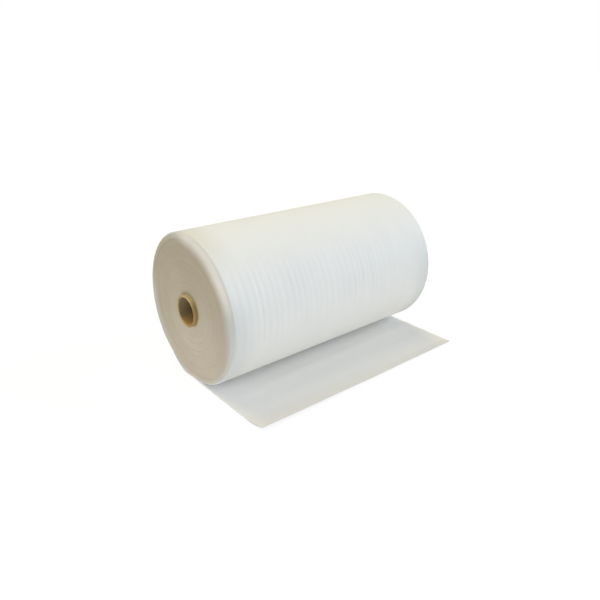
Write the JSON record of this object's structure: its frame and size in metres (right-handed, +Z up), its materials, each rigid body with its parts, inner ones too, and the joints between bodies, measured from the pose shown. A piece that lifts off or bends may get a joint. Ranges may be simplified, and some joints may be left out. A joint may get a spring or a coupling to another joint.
{
  "type": "foam wrap roll",
  "caption": "Roll of soft white foam wrap wound on a paper core, lying on its side with the free end of the web run out in front along the floor.",
  "frame": {"origin": "centre of the core's bore, half way along the roll", "axes": "+X along the core's bore, -Y towards the free end of the web, +Z up"},
  "size_m": [0.77, 0.5319, 0.4202],
  "materials": {
    "foam": "soft satin white polyethylene foam",
    "paper_core": "matt brown wound paper tube"
  },
  "bodies": {
    "root": {"foam_web": "foam", "core_tube": "paper_core"}
  },
  "joints": []
}
